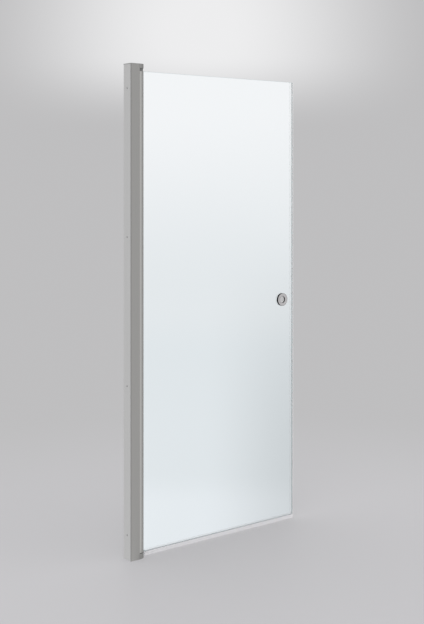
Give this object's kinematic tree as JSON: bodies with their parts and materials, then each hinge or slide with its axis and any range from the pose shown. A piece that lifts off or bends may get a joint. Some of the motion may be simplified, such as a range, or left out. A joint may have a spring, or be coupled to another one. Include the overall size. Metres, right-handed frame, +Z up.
{
  "type": "pivot shower door",
  "caption": "Clear glass pivot shower door for a niche: wall post, round pivot profile that rises on a cam as it opens, seals and a ring handle.",
  "frame": {"origin": "back face of the wall channel at floor level, in the middle plane of the glass", "axes": "+X along the closed door from the hinge wall to the free edge, +Y into the shower, +Z up"},
  "size_m": [0.9045, 0.0579, 2],
  "materials": {
    "satin_aluminium": "satin silver anodised",
    "mill_aluminium": "plain extruded",
    "block_metal": "satin silver, cast and anodised to match the post",
    "steel": "plain stainless",
    "dark_nylon": "dark moulded nylon",
    "grey_plastic": "moulded grey",
    "glass": "clear toughened, polished blue-green edge",
    "clear_seal": "clear, slightly milky flexible seal",
    "clear_plastic": "clear moulded plastic",
    "handle_chrome": "satin chrome face with bright edges"
  },
  "bodies": {
    "frame": {"wall_channel": "mill_aluminium", "hinge_post": "satin_aluminium", "post_fixing_screws": "steel", "screw_caps": "grey_plastic", "top_cap": "grey_plastic", "post_seal_outer": "clear_seal", "post_seal_inner": "clear_seal", "top_bearing_block": "block_metal", "top_block_screws": "steel", "top_collar": "grey_plastic", "bottom_bearing_block": "block_metal", "bottom_block_screws": "steel", "bottom_pivot_pin": "steel", "lower_cam": "dark_nylon"},
    "lift_bush": {"top_bush": "dark_nylon"},
    "door": {"pivot_profile": "satin_aluminium", "upper_cam": "dark_nylon", "cam_screws": "steel", "top_plug": "dark_nylon", "plug_screws": "steel", "top_pivot_pin": "steel", "glass_pane": "glass", "glazing_gasket_outer": "clear_seal", "glazing_gasket_inner": "clear_seal", "setting_blocks": "dark_nylon", "side_seal": "clear_seal", "bottom_seal": "clear_seal", "ring_handle_outer": "handle_chrome", "ring_grip_outer": "dark_nylon", "ring_handle_inner": "clear_plastic", "handle_sleeve": "clear_plastic", "handle_washer_outer": "dark_nylon", "handle_washer_inner": "clear_seal", "glass_bush": "clear_seal"}
  },
  "joints": [
    {"name": "door_lift", "type": "slide", "parent": "frame", "child": "lift_bush", "axis": [0, 0, 1], "range_m": [0, 0.0085]},
    {"name": "door_swing", "type": "hinge", "parent": "lift_bush", "child": "door", "pos_m": [0.053, 0, 1], "axis": [0, 0, -1], "range_deg": [0, 95]}
  ],
  "couplings": [
    {"joint": "door_lift", "follows": "door_swing", "m_per_rad": 0.005093}
  ]
}
